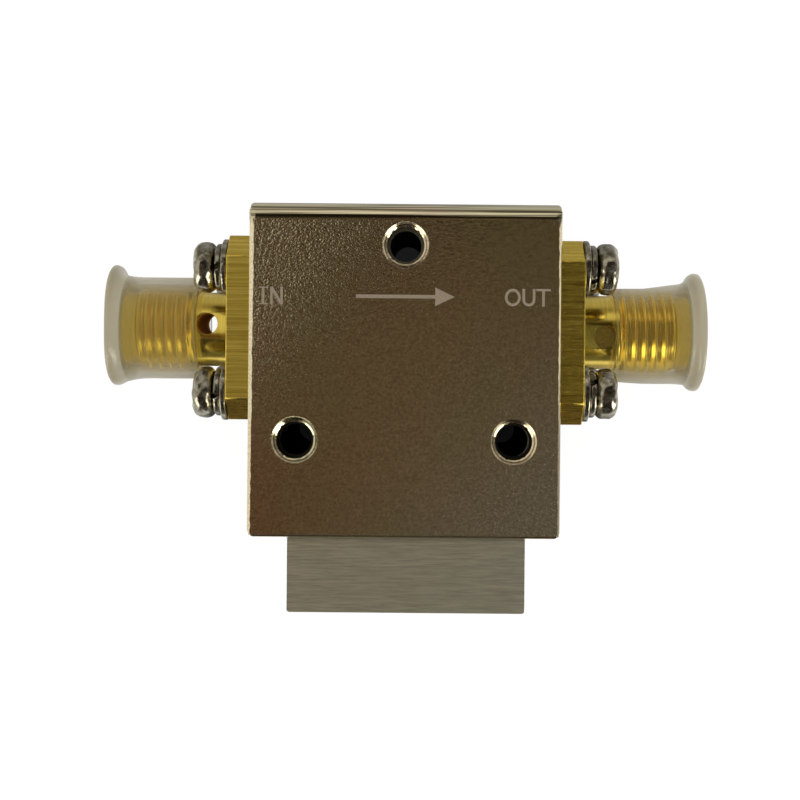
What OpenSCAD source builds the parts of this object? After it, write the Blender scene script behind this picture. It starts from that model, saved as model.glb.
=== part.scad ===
// Coaxial isolator: a three-port ferrite junction whose third port ends in a load.
// A bent steel yoke wraps an aluminium housing, and a coaxial jack is screwed to each side.
// Frame: +X from the input to the output port, +Y away from the load foot, +Z out of the
// marked front. The origin is the junction axis on the back face. All sizes are millimetres.

/* [Yoke] */
// Width of the body, from one port face to the other
body_w = 21; // [19:0.5:26]
// Height of the yoke, from the lower edges of its plates to the top of the bend
yoke_h = 22.5; // [21.5:0.5:27]
// Depth of the body, from the back plate to the front plate
body_d = 15; // [14.5:0.5:19]
// Thickness of the yoke's sheet steel
sheet_t = 1; // [0.7:0.1:1.3]
// Inner radius of the yoke's two bends
bend_inner_r = 0.2; // [0.1:0.05:0.5]
// Radius worn on the outer edges of the yoke by tumbling and plating
edge_r = 0.25; // [0.1:0.05:0.4]
// Height of the junction axis above the lower edges of the yoke
junction_h = 11; // [10:0.25:12]

/* [Mounting holes] */
// Radius of the circle on which the three mounting holes lie
hole_circle_r = 8.6; // [8.2:0.1:9]
// Angle of the two lower holes below the horizontal
lower_hole_angle = 31.5; // [29:0.5:33]
// Diameter of the mounting holes in the yoke's plates
hole_d = 2.5; // [2.3:0.1:2.8]
// Width of the countersunk rim round each hole
hole_chamfer = 0.3; // [0.1:0.05:0.4]
// Diameter of the mounting holes in the housing
core_hole_d = 2.1; // [2:0.1:2.2]

/* [Housing] */
// Width of the foot that holds the load
foot_w = 16.1; // [12:0.1:18]
// How far the foot sits off the middle, towards the output
foot_shift = 0.17; // [0:0.01:0.5]
// How far the foot reaches below the yoke
foot_h = 5.2; // [4:0.1:8]
// Radius on the foot's lower corners
foot_corner_r = 0.2; // [0.1:0.05:0.5]
// Diameter of the junction cavity
cavity_d = 12.2; // [11.6:0.1:12.6]
// Diameter of the three bores that leave the cavity
port_bore_d = 4.1; // [3.8:0.1:4.3]
// Height of the port axis above the junction axis
port_rise = 3; // [2.6:0.1:3.4]

/* [Junction] */
// Thickness of the strip conductor
strip_t = 0.2; // [0.1:0.05:0.3]
// Diameter of the conductor's resonator disc
resonator_d = 5.2; // [4:0.2:7]
// Width of the conductor's arms
arm_w = 1; // [0.6:0.1:1.4]
// Thickness of each ferrite disc
ferrite_t = 1.3; // [1:0.1:1.8]
// Thickness of each steel pole plate
pole_t = 0.8; // [0.5:0.1:1]
// Thickness of each compensation plate
compensation_t = 1.1; // [0.6:0.1:1.4]
// Radial gap between the discs and the cavity
disc_gap = 0.1; // [0.05:0.05:0.2]

/* [Load] */
// Diameter of the load rod
load_d = 1.5; // [1.2:0.1:2]
// Length of the plug that closes the load bore
load_plug_l = 2.4; // [2:0.1:3]
// How deep the load rod sits in its plug
load_seat_l = 0.9; // [0.6:0.1:1.2]

/* [Connector] */
// How far the square flange stays inside the front and back of the body
flange_inset = 1.15; // [0.9:0.05:1.5]
// Thickness of the flange
flange_t = 1.7; // [1.4:0.1:2.2]
// Diameter that the flange's corners are turned to
flange_corner_d = 16; // [15.5:0.1:17]
// Distance from the flange's edges to the axes of its screws
screw_inset = 2.03; // [1.95:0.01:2.15]
// Diameter of the plain neck behind the thread
neck_d = 5.36; // [5.2:0.02:5.4]
// Length of the neck, from the flange to the thread
neck_l = 2.8; // [2.6:0.1:3.6]
// Outer diameter of the thread
thread_d = 6.35; // [6.2:0.05:6.5]
// Pitch of the thread
thread_pitch = 0.7056; // [0.6:0.01:0.8]
// Number of thread turns
thread_turns = 6; // [4:1:7]
// Depth of the thread
thread_depth = 0.43; // [0.3:0.01:0.45]
// Diameter of the plain nose in front of the thread
nose_d = 5.3; // [5.2:0.05:5.4]
// Length of the nose
nose_l = 1.2; // [0.8:0.1:1.6]
// Diameter of the socket mouth in the nose
mouth_d = 4.6; // [4.4:0.05:4.8]
// Depth of the socket mouth
mouth_depth = 1.95; // [1.8:0.05:2.1]
// Diameter of the hole drilled across the neck
cross_hole_d = 1.5; // [1.3:0.05:1.6]
// Distance from the flange to that hole's axis
cross_hole_out = 1.9; // [1.5:0.1:2]
// How far the hole runs beside the connector's axis
cross_hole_side = 0.35; // [0.3:0.05:0.5]

/* [Contact] */
// Diameter of the centre contact
contact_d = 1.27; // [1.2:0.01:1.35]
// Diameter of the contact's socket
socket_d = 0.94; // [0.9:0.01:1]
// Depth of the contact's socket
socket_depth = 2.5; // [2:0.1:3]
// Diameter of the contact's tail
tail_d = 0.7; // [0.6:0.05:0.9]
// Width of the slots that make the socket springy
spring_slot_w = 0.2; // [0.1:0.02:0.3]

/* [Screws and washers] */
// Diameter of the flange screws
screw_d = 2; // [1.8:0.1:2.2]
// Length of the flange screws under the head
screw_l = 6; // [5:0.25:6]
// Diameter of the screw heads
head_d = 3.55; // [3.4:0.05:3.8]
// Height of the screw heads
head_h = 1.45; // [1.1:0.05:1.6]
// Width of each arm of the cross recess
recess_w = 0.5; // [0.3:0.05:0.6]
// Length of the cross recess, tip to tip
recess_l = 1.9; // [1.4:0.1:2.2]
// Depth of the cross recess
recess_depth = 0.7; // [0.4:0.05:0.9]
// Outer diameter of the flat washers
flat_washer_d = 3.9; // [3.5:0.05:4.2]
// Thickness of the flat washers
flat_washer_t = 0.45; // [0.3:0.05:0.6]
// Outer diameter of the spring washers
spring_washer_d = 3.3; // [3.1:0.05:3.6]
// Thickness of the spring washers
spring_washer_t = 0.5; // [0.4:0.05:0.6]
// Width of the split in each spring washer
split_w = 0.35; // [0.2:0.05:0.5]

/* [Dust caps] */
// Thickness of the cap's sleeve
cap_wall = 0.5; // [0.4:0.05:0.8]
// How much thinner the output cap's open end has been stretched
cap_thinning = 0.3; // [0.1:0.05:0.3]
// How far the brim stands out from the sleeve
brim_out = 0.67; // [0.5:0.01:1]
// Thickness of the brim
brim_t = 0.4; // [0.3:0.05:0.6]
// Length of the flare that joins the sleeve to the brim
flare_l = 1.2; // [0.8:0.1:1.4]
// Thickness of the cap's closed end
cap_end_t = 0.6; // [0.4:0.05:0.8]
// How far the cap's open end reaches past the thread
cap_reach = 0.2; // [0.1:0.05:0.3]

/* [Hidden] */
$fn = 64;

// Clearances
slip = 0.02; // between a turned piece and its bore
screw_play = 0.15; // between a flange screw and its hole in the flange
thread_play = 0.02; // between a flange screw and the tapped hole
cap_play = 0.03; // between a cap and the thread it is pushed over
strip_play = 0.01; // between the strip and the slots that take its ends
past = 1; // how far a cutter runs past the face it cuts

// Body
INPUT = -1;
OUTPUT = 1;
mid_z = body_d / 2;
yoke_top = yoke_h - junction_h;
core_top = yoke_top - sheet_t;
core_d = body_d - 2 * sheet_t;
bend_outer_r = bend_inner_r + sheet_t;
hole_angles = [90, 180 + lower_hole_angle, 360 - lower_hole_angle];

// Junction, from the strip outwards
cavity_r = cavity_d / 2;
disc_r = cavity_r - disc_gap;
ferrite_face = strip_t / 2;
pole_face = ferrite_face + ferrite_t;
magnet_face = pole_face + pole_t;
compensation_face = core_d / 2 - compensation_t;
magnet_t = compensation_face - magnet_face;
arm_angle = 30; // above the horizontal, so that the three arms leave 120 degrees apart
elbow_x = port_rise / tan(arm_angle);
elbow_d = 1.1 * arm_w;
strip_reach = 0.5; // how far the arms run past the cavity's radius
strip_grip = 0.9; // how much of an arm lies in the slot that holds it
arm_end = cavity_r + strip_reach;
tail_end = arm_end - strip_grip;

// Load, measured downwards from the junction
load_start = cavity_r + strip_reach;
load_arm_end = load_start + strip_grip;
plug_end = junction_h + foot_h;
load_seat = plug_end - load_plug_l;
load_end = load_seat + load_seat_l;

// Connector, measured from the junction along the port axis
flange_w = body_d - 2 * flange_inset;
screw_pitch = flange_w - 2 * screw_inset;
flange_back = body_w / 2;
flange_front = flange_back + flange_t;
thread_start = flange_front + neck_l;
thread_end = thread_start + thread_turns * thread_pitch;
nose_end = thread_end + nose_l;
mouth_end = nose_end - mouth_depth;
cross_hole_at = flange_front + cross_hole_out;
insulator_setback = 0.2; // between the end of a strip arm and the insulator
insulator_back = arm_end + insulator_setback;
shoulder_l = 0.5; // the insulator's narrow end, which holds the contact
tail_shoulder = insulator_back + shoulder_l;
contact_recess = 0.1;
contact_front = mouth_end - contact_recess;
spring_slot_l = 0.8 * socket_depth;
nose_chamfer = 0.15;
plug_dish = 0.1; // how far the epoxy lies below the neck's surface

// Screws and washers, measured the same way
lock_seat = flange_front + flat_washer_t;
head_seat = lock_seat + spring_washer_t;
screw_tip = head_seat - screw_l;
drill_past = 0.45; // how far a tapped hole runs past the screw's tip
head_rim_r = 0.4 * head_h;
flat_rim_r = 0.3 * flat_washer_t;
spring_rim_r = 0.4 * spring_washer_t;
split_slant = 25;
// Angles at which the screws and the spring washers came to rest, corner by corner
recess_angles = [20, 57, 94, 131];
input_split_angles = [190, 40, 315, 105];
output_split_angles = [350, 80, 285, 140];

// Cap
cap_bore_r = thread_d / 2 + cap_play;
cap_r = cap_bore_r + cap_wall;
brim_r = cap_r + brim_out;
cap_open = thread_start - cap_reach;
cap_floor = nose_end + cap_play;
cap_end = cap_floor + cap_end_t;
brim_back = cap_end - brim_t;
brim_rim = 0.3 * brim_t;
flare_start = brim_back - flare_l;
flare_steps = 6;

// A flat rectangle centred on the origin, with round corners
module rounded_rectangle(w, h, r) {
    square([w - 2 * r, h], center = true);
    square([w, h - 2 * r], center = true);
    for (x = [-1, 1], y = [-1, 1])
        translate([x * (w / 2 - r), y * (h / 2 - r)])
            circle(r);
}

// Children drawn along +Z from the junction are turned out along one port. The two
// connectors are the same part, turned half round, so the input isn't a mirror image.
module along_port(side) {
    translate([0, port_rise, mid_z])
        rotate([0, 0, side == OUTPUT ? 0 : 180])
            rotate([0, 90, 0])
                children();
}

// Children are repeated at the flange's four screws; $corner counts them
module at_screws() {
    for (i = [0 : 3]) {
        $corner = i;
        rotate(45 + 90 * i)
            translate([screw_pitch / sqrt(2), 0, 0])
                children();
    }
}

module at_mounting_holes() {
    for (angle = hole_angles)
        rotate(angle)
            translate([hole_circle_r, 0, 0])
                children();
}

// The hole that the maker drilled across the neck, for the epoxy that holds the contact
module cross_hole(r, half_length) {
    translate([0, -cross_hole_side, cross_hole_at])
        rotate([0, 90, 0])
            cylinder(r = r, h = 2 * half_length, center = true);
}

// An outline drawn with Y to the right and Z up is extruded across the body, along X
module across_body() {
    rotate([90, 0, 90])
        linear_extrude(body_w, center = true)
            children();
}

// The space inside the bent sheet, which the housing fills, from a distance below the
// junction up to the web
module inside_bend(depth_below) {
    translate([-depth_below, sheet_t])
        square([depth_below + core_top - bend_inner_r, core_d]);
    translate([0, sheet_t + bend_inner_r])
        square([core_top, core_d - 2 * bend_inner_r]);
    for (z = [sheet_t + bend_inner_r, body_d - sheet_t - bend_inner_r])
        translate([core_top - bend_inner_r, z])
            circle(bend_inner_r);
}

module bent_sheet() {
    difference() {
        union() {
            translate([-junction_h, 0])
                square([yoke_h - bend_outer_r, body_d]);
            translate([0, bend_outer_r])
                square([yoke_top, body_d - 2 * bend_outer_r]);
            for (z = [bend_outer_r, body_d - bend_outer_r])
                translate([yoke_top - bend_outer_r, z])
                    circle(bend_outer_r);
        }
        inside_bend(junction_h + past);
    }
}

module yoke() {
    color("#6b6152")
    difference() {
        intersection() {
            across_body() bent_sheet();
            translate([0, 0, mid_z])
                rotate([90, 0, 0])
                    linear_extrude(2 * yoke_h, center = true)
                        rounded_rectangle(body_w, body_d, edge_r);
        }
        at_mounting_holes() {
            translate([0, 0, -past])
                cylinder(d = hole_d, h = body_d + 2 * past);
            for (z = [0, body_d])
                translate([0, 0, z])
                    mirror([0, 0, z > 0 ? 1 : 0])
                        translate([0, 0, -past])
                            cylinder(r1 = hole_d / 2 + hole_chamfer + past,
                                     r2 = hole_d / 2, h = hole_chamfer + past);
        }
    }
}

module tapped_hole() {
    translate([0, 0, screw_tip - drill_past])
        cylinder(r = screw_d / 2 + thread_play, h = screw_l);
}

module housing() {
    color("#8c887a")
    difference() {
        intersection() {
            across_body() inside_bend(plug_end);
            translate([0, 0, -past])
                linear_extrude(body_d + 2 * past)
                    union() {
                        translate([-body_w / 2, -junction_h])
                            square([body_w, yoke_h]);
                        translate([foot_shift, -plug_end / 2])
                            rounded_rectangle(foot_w, plug_end, foot_corner_r);
                    }
        }
        translate([0, 0, -past])
            cylinder(r = cavity_r, h = body_d + 2 * past);
        for (side = [INPUT, OUTPUT])
            along_port(side) {
                cylinder(d = port_bore_d, h = body_w);
                at_screws() tapped_hole();
            }
        translate([0, 0, mid_z])
            rotate([90, 0, 0])
                cylinder(d = port_bore_d, h = plug_end + past);
        at_mounting_holes()
            translate([0, 0, -past])
                cylinder(d = core_hole_d, h = body_d + 2 * past);
    }
}

// A disc of the stack, at a distance from the middle, in front (1) or behind (-1)
module stack_disc(face, thickness, end) {
    translate([0, 0, mid_z + end * (face + thickness / 2)])
        cylinder(r = disc_r, h = thickness, center = true);
}

module magnet(end) {
    color("#9a9a98") stack_disc(magnet_face, magnet_t, end);
}

module compensation_plate(end) {
    color("#a8a59c") stack_disc(compensation_face, compensation_t, end);
}

module pole_plate(end) {
    color("#8f8d86") stack_disc(pole_face, pole_t, end);
}

module ferrite(end) {
    color("#2c2b2a") stack_disc(ferrite_face, ferrite_t, end);
}

module centre_conductor() {
    color("#c9a24a")
    translate([0, 0, mid_z - strip_t / 2])
        linear_extrude(strip_t)
            union() {
                circle(d = resonator_d);
                for (side = [INPUT, OUTPUT])
                    mirror([side == INPUT ? 1 : 0, 0]) {
                        rotate(arm_angle)
                            translate([0, -arm_w / 2])
                                square([port_rise / sin(arm_angle), arm_w]);
                        translate([elbow_x, port_rise])
                            circle(d = elbow_d);
                        translate([elbow_x, port_rise - arm_w / 2])
                            square([arm_end - elbow_x, arm_w]);
                    }
                translate([-arm_w / 2, -load_arm_end])
                    square([arm_w, load_arm_end]);
            }
}

// A slot that takes the end of a strip arm, drawn along +Z up to the arm's end
module strip_slot(end) {
    translate([-strip_t / 2 - strip_play, -port_bore_d / 2, 0])
        cube([strip_t + 2 * strip_play, port_bore_d, end + strip_play]);
}

module load_resistor() {
    color("#d8d4c8")
    translate([0, 0, mid_z])
        rotate([90, 0, 0])
            difference() {
                translate([0, 0, load_start])
                    cylinder(d = load_d, h = load_end - load_start);
                rotate(90) strip_slot(load_arm_end);
            }
}

module load_plug() {
    color("#8c887a")
    translate([0, 0, mid_z])
        rotate([90, 0, 0])
            difference() {
                translate([0, 0, load_seat])
                    cylinder(r = port_bore_d / 2 - slip, h = load_plug_l);
                translate([0, 0, load_seat - past])
                    cylinder(r = load_d / 2 + slip, h = past + load_seat_l);
            }
}

// Turned outline of the connector: the bore, the nose, the thread's ridges and the neck
module turned_outline() {
    crest_r = thread_d / 2;
    root_r = crest_r - thread_depth;
    ridge = [[root_r, 1 / 16], [crest_r, 7 / 16], [crest_r, 9 / 16], [root_r, 15 / 16]];
    polygon([
        [port_bore_d / 2, flange_back],
        [port_bore_d / 2, mouth_end],
        [mouth_d / 2, mouth_end],
        [mouth_d / 2, nose_end],
        [nose_d / 2 - nose_chamfer, nose_end],
        [nose_d / 2, nose_end - nose_chamfer],
        [nose_d / 2, thread_end],
        for (turn = [thread_turns - 1 : -1 : 0], corner = [3 : -1 : 0])
            [ridge[corner][0], thread_start + (turn + ridge[corner][1]) * thread_pitch],
        [root_r, thread_start],
        [neck_d / 2, thread_start],
        [neck_d / 2, flange_back]
    ]);
}

module connector_body(side) {
    color("#b8923c")
    along_port(side)
        difference() {
            union() {
                rotate_extrude() turned_outline();
                translate([0, 0, flange_back])
                    linear_extrude(flange_t)
                        difference() {
                            intersection() {
                                square(flange_w, center = true);
                                circle(d = flange_corner_d);
                            }
                            circle(d = port_bore_d);
                        }
            }
            cross_hole(cross_hole_d / 2, thread_d);
            at_screws()
                translate([0, 0, flange_back - past])
                    cylinder(r = screw_d / 2 + screw_play, h = flange_t + 2 * past);
        }
}

module insulator(side) {
    color("#f2f1ea")
    along_port(side)
        difference() {
            translate([0, 0, insulator_back])
                cylinder(r = port_bore_d / 2 - slip, h = mouth_end - insulator_back);
            translate([0, 0, insulator_back - past])
                cylinder(r = tail_d / 2 + slip, h = mouth_end);
            translate([0, 0, tail_shoulder])
                cylinder(r = contact_d / 2 + slip, h = mouth_end);
            cross_hole(cross_hole_d / 2, thread_d);
        }
}

module contact(side) {
    color("#c9a24a")
    along_port(side)
        difference() {
            union() {
                translate([0, 0, tail_end])
                    cylinder(d = tail_d, h = contact_front - tail_end);
                translate([0, 0, tail_shoulder + slip])
                    cylinder(d = contact_d, h = contact_front - tail_shoulder - slip);
            }
            strip_slot(arm_end);
            translate([0, 0, contact_front - socket_depth])
                cylinder(d = socket_d, h = socket_depth + past);
            for (turn = [0, 90])
                rotate(turn)
                    translate([-contact_d, -spring_slot_w / 2, contact_front - spring_slot_l])
                        cube([2 * contact_d, spring_slot_w, socket_depth]);
            cross_hole(cross_hole_d / 2, thread_d);
        }
}

module epoxy_plug(side) {
    color("#5c5030")
    along_port(side)
        cross_hole(cross_hole_d / 2 - slip, neck_d / 2 - plug_dish);
}

// A ring or disc with a round rim, drawn along +Z from its seat
module round_rimmed(outer_r, inner_r, thickness, rim_r) {
    rotate_extrude()
        difference() {
            union() {
                square([outer_r - rim_r, thickness]);
                translate([0, rim_r])
                    square([outer_r, thickness - 2 * rim_r]);
                for (z = [rim_r, thickness - rim_r])
                    translate([outer_r - rim_r, z])
                        circle(rim_r);
            }
            if (inner_r > 0)
                translate([-past, -past])
                    square([inner_r + past, thickness + 2 * past]);
        }
}

module screw() {
    difference() {
        union() {
            translate([0, 0, head_seat])
                round_rimmed(head_d / 2, 0, head_h, head_rim_r);
            translate([0, 0, screw_tip])
                cylinder(d = screw_d, h = head_seat + head_h / 2 - screw_tip);
        }
        for (turn = [0, 90])
            rotate(turn)
                translate([-recess_l / 2, -recess_w / 2, head_seat + head_h - recess_depth])
                    cube([recess_l, recess_w, recess_depth + past]);
    }
}

module screws(side) {
    color("#7d7a73")
    along_port(side)
        at_screws() rotate(recess_angles[$corner]) screw();
}

module flat_washers(side) {
    color("#85827b")
    along_port(side)
        at_screws()
            translate([0, 0, flange_front])
                round_rimmed(flat_washer_d / 2, screw_d / 2 + slip, flat_washer_t, flat_rim_r);
}

module spring_washers(side) {
    split_angles = side == INPUT ? input_split_angles : output_split_angles;
    color("#85827b")
    along_port(side)
        at_screws()
            rotate(split_angles[$corner])
                difference() {
                    translate([0, 0, lock_seat])
                        round_rimmed(spring_washer_d / 2, screw_d / 2 + slip, spring_washer_t,
                                     spring_rim_r);
                    translate([spring_washer_d / 2, 0, lock_seat + spring_washer_t / 2])
                        rotate([split_slant, 0, 0])
                            cube([spring_washer_d, split_w, 4 * spring_washer_t], center = true);
                }
}

// The flare is a quarter of an ellipse that leaves the sleeve smoothly
module cap(side, open_r) {
    color("#c9c4b4", 0.6)
    along_port(side)
        rotate_extrude()
            polygon([
                [0, cap_floor],
                [cap_bore_r, cap_floor],
                [cap_bore_r, cap_open],
                [open_r, cap_open],
                for (step = [0 : flare_steps])
                    [cap_r + brim_out * (1 - cos(90 * step / flare_steps)),
                     flare_start + flare_l * sin(90 * step / flare_steps)],
                [brim_r, cap_end - brim_rim],
                [brim_r - brim_rim, cap_end],
                [0, cap_end]
            ]);
}

yoke();
housing();
magnet(1);  // front_magnet
magnet(-1);  // rear_magnet
compensation_plate(1);  // front_compensation_plate
compensation_plate(-1);  // rear_compensation_plate
pole_plate(1);  // front_pole_plate
pole_plate(-1);  // rear_pole_plate
ferrite(1);  // front_ferrite
ferrite(-1);  // rear_ferrite
centre_conductor();
load_resistor();
load_plug();
connector_body(INPUT);  // input_connector_body
connector_body(OUTPUT);  // output_connector_body
insulator(INPUT);  // input_insulator
insulator(OUTPUT);  // output_insulator
contact(INPUT);  // input_contact
contact(OUTPUT);  // output_contact
epoxy_plug(OUTPUT);  // output_epoxy_plug
cap(INPUT, cap_r);  // input_cap
cap(OUTPUT, cap_r - cap_thinning);  // output_cap
screws(INPUT);  // input_screws
screws(OUTPUT);  // output_screws
spring_washers(INPUT);  // input_spring_washers
spring_washers(OUTPUT);  // output_spring_washers
flat_washers(INPUT);  // input_flat_washers
flat_washers(OUTPUT);  // output_flat_washers
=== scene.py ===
import math
from functools import partial

import bmesh
import bpy
from bpy.props import FloatProperty, FloatVectorProperty, IntProperty, PointerProperty
from bpy.types import NodeSocket, Operator, Panel, PropertyGroup
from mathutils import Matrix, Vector, noise


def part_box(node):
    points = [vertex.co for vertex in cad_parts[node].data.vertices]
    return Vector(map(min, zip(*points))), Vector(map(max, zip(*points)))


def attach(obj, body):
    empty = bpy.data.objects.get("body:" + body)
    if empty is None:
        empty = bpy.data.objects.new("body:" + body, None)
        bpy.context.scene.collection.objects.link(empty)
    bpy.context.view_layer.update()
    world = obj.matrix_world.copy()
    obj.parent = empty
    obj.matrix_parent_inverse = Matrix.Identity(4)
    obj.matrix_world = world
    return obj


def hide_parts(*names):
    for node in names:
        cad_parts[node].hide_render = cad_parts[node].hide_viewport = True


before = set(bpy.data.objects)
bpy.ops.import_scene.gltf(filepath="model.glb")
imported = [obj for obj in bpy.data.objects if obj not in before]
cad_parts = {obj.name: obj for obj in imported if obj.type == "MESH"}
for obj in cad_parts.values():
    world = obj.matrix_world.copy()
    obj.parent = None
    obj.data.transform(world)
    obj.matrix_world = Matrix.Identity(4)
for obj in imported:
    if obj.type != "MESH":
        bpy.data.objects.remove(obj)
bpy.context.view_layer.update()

bl_info = {
    "name": "Coaxial isolator",
    "version": (1, 0, 0),
    "blender": (4, 5, 0),
    "location": "3D View > Sidebar > Isolator",
    "description": "Dresses the solids of a coaxial isolator and sets its stage",
    "category": "Object",
}

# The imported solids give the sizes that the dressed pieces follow
MM = 0.001
YOKE_LOW, YOKE_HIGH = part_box("yoke")
BODY_LOW, BODY_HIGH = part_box("output_connector_body")
CAP_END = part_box("output_cap")[1].x
PORT_Y = (BODY_LOW.y + BODY_HIGH.y) / 2
PORT_Z = (BODY_LOW.z + BODY_HIGH.z) / 2
FLANGE_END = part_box("output_flat_washers")[0].x
FRONT = YOKE_HIGH.z
SIDES = {"input": -1, "output": 1}

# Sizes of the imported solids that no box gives
EDGE_R = 0.25 * MM
BEND_R = 1.2 * MM
HOLE_R = 1.25 * MM
HOLE_CIRCLE = 8.6  # radius, in millimetres
HOLE_ANGLES = [math.radians(a) for a in (90, 211.5, 328.5)]
HOLE_SPOTS = [(HOLE_CIRCLE * math.cos(a) * MM, HOLE_CIRCLE * math.sin(a) * MM) for a in HOLE_ANGLES]
CROSS_HOLE = (-14.1 * MM, PORT_Y + 0.35 * MM)
CROSS_HOLE_R = 0.77 * MM

FILED_FROM = YOKE_HIGH.x - 0.45 * MM  # how far out the yoke's filed strips start
TINY = 0.0001 * MM  # what counts as the same place when a mesh is cut
WHITE = (1, 1, 1, 1)


def linear(written):
    """A colour written as sRGB hex, as linear red, green, blue and alpha."""
    parts = [int(written[i : i + 2], 16) / 255 for i in (1, 3, 5)]
    return tuple(c / 12.92 if c <= 0.04045 else ((c + 0.055) / 1.055) ** 2.4 for c in parts) + (1.0,)


def plain(value):
    """A value as a socket takes it: colours written as hex become linear."""
    return linear(value) if isinstance(value, str) and value.startswith("#") else value


MODES = {"Math": "operation", "VectorMath": "operation", "MapRange": "interpolation_type", "Mix": "data_type"}


def add(tree, kind, *values, stops=(), out=None, **named):
    """Adds a node with its settings and links, and hands back its first output, the one asked for, or all.

    A kind in capitals is a Math node's operation. Values go to the inputs in use, in order. Names with a
    capital are inputs, and other names are settings. Stops are those of a colour ramp.
    """
    kind, _, mode = (f"Math.{kind}" if kind.isupper() else kind).partition(".")
    node = tree.nodes.new(kind if "Node" in kind else f"ShaderNode{kind}")
    if mode:
        setattr(node, MODES[kind], mode)
    for name, value in named.items():
        if name[0].islower():
            setattr(node, name, value)
    for i, (place, colour) in enumerate(stops):
        stop = node.color_ramp.elements[i] if i < 2 else node.color_ramp.elements.new(place)
        stop.position, stop.color = place, plain(colour)
    given = list(zip([s for s in node.inputs if s.enabled], values))
    given += [(node.inputs[name.replace("_", " ")], value) for name, value in named.items() if name[0].isupper()]
    for socket, value in given:
        if isinstance(value, NodeSocket):
            tree.links.new(value, socket)
        else:
            socket.default_value = plain(value)
    if out:
        return node.outputs if out == "all" else node.outputs[out]
    return next((s for s in node.outputs if s.enabled), None)


def start_material(name):
    """An empty material, the way to add nodes to it, and a point's place on its piece."""
    material = bpy.data.materials.new(name)
    material.use_nodes = True
    material.node_tree.nodes.clear()
    put = partial(add, material.node_tree)
    return material, put, put("TexCoord", out="Object")


def shade(put, **sockets):
    """Ends a material with its one Principled shader."""
    put("OutputMaterial", Surface=put("BsdfPrincipled", **sockets))


def paint(nodes, material):
    """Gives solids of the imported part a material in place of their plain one."""
    for name in nodes:
        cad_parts[name].data.materials[0] = material


def merged_copy(node):
    """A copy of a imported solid's mesh, with its loose triangles joined."""
    bm = bmesh.new()
    bm.from_mesh(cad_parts[node].data)
    bmesh.ops.remove_doubles(bm, verts=bm.verts, dist=0.0005 * MM)
    return bm


def make_flats(bm):
    """Makes one face of the triangles that lie in one plane."""
    bmesh.ops.dissolve_limit(bm, angle_limit=math.radians(0.5), verts=bm.verts, edges=bm.edges)


def sharp_edges(bm, degrees):
    return [e for e in bm.edges if len(e.link_faces) == 2 and e.calc_face_angle() > math.radians(degrees)]


def bevel(bm, edges, width, segments, clamp):
    bmesh.ops.bevel(bm, geom=edges, offset=width, segments=segments, profile=0.5, affect="EDGES", clamp_overlap=clamp)


def cut(bm, point, way, **settings):
    """Cuts a whole mesh along a plane, and hands back what lies on the cut."""
    return bmesh.ops.bisect_plane(bm, geom=[*bm.verts, *bm.edges, *bm.faces], plane_co=point, plane_no=way,
                                  dist=TINY, **settings)["geom_cut"]


def make_mesh(name, bm, material=None):
    mesh = bpy.data.meshes.new(name)
    bm.to_mesh(mesh)
    bm.free()
    if material:
        mesh.materials.append(material)
    return mesh


def show(name, data):
    """Puts an object with the given data in the scene."""
    thing = bpy.data.objects.new(name, data)
    bpy.context.scene.collection.objects.link(thing)
    return thing


def finish_piece(name, bm, material, smooth_angle, replaced):
    """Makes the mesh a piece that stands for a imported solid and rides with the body."""
    bm.normal_update()
    mesh = make_mesh(name, bm, material)
    mesh.shade_smooth()
    mesh.set_sharp_from_angle(angle=math.radians(smooth_angle))
    for face in mesh.polygons:
        if max(abs(n) for n in face.normal) > 0.9999:
            face.use_smooth = False
    piece = show(name, mesh)
    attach(piece, "root")
    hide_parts(replaced)
    return piece


def start_tree(name, inputs):
    """A geometry node tree, the way to add nodes to it, and its inputs: each a number's default or a kind."""
    tree = bpy.data.node_groups.new(name, "GeometryNodeTree")
    for label, value in inputs.items():
        kind = value if isinstance(value, str) else "Float"
        socket = tree.interface.new_socket(label, in_out="INPUT", socket_type=f"NodeSocket{kind}")
        if kind == "Float":
            socket.default_value = value
    tree.interface.new_socket("Geometry", in_out="OUTPUT", socket_type="NodeSocketGeometry")
    put = partial(add, tree)
    return tree, put, put("NodeGroupInput", out="all")


def grow(holder, tree, wanted):
    """Runs a node tree on the holder with the wanted inputs, and hands back a plain mesh."""
    modifier = holder.modifiers.new(tree.name, "NODES")
    modifier.node_group = tree
    for item in tree.interface.items_tree:
        if item.in_out == "INPUT" and item.name in wanted:
            modifier[item.identifier] = wanted[item.name]
    bpy.context.view_layer.update()
    made = bpy.data.meshes.new_from_object(holder.evaluated_get(bpy.context.evaluated_depsgraph_get()))
    holder.modifiers.clear()
    bpy.data.objects.remove(holder)
    if not made.polygons:
        raise RuntimeError(f"{tree.name} made nothing")
    return made


# ---------------- materials


def together(put, share, *others):
    """Where all the given shares hold at once, which is their product."""
    for other in others:
        share = put("MULTIPLY", share, other)
    return share


def axis_distance(put, place, spots):
    """How far a point is from the nearest of the given holes' axes."""
    flat = put("VectorMath.MULTIPLY", place, (1, 1, 0))
    nearest = 1.0
    for x, y in spots:
        nearest = put("MINIMUM", put("VectorMath.DISTANCE", flat, (x, y, 0)), nearest)
    return nearest


def in_cross_hole(put, place):
    """One inside the input body's cross hole, whose wall is stained, and nought elsewhere."""
    return put("LESS_THAN", axis_distance(put, place, [CROSS_HOLE]), CROSS_HOLE_R)


def streaks(put, place, size, detail, roughness=0.5):
    """Noise whose specks have the given size along each axis, in millimetres."""
    drawn = put("Mapping", Vector=place, Scale=[1 / (s * MM) for s in size])
    return put("TexNoise", Vector=drawn, Scale=1.0, Detail=detail, Roughness=roughness)


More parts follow.
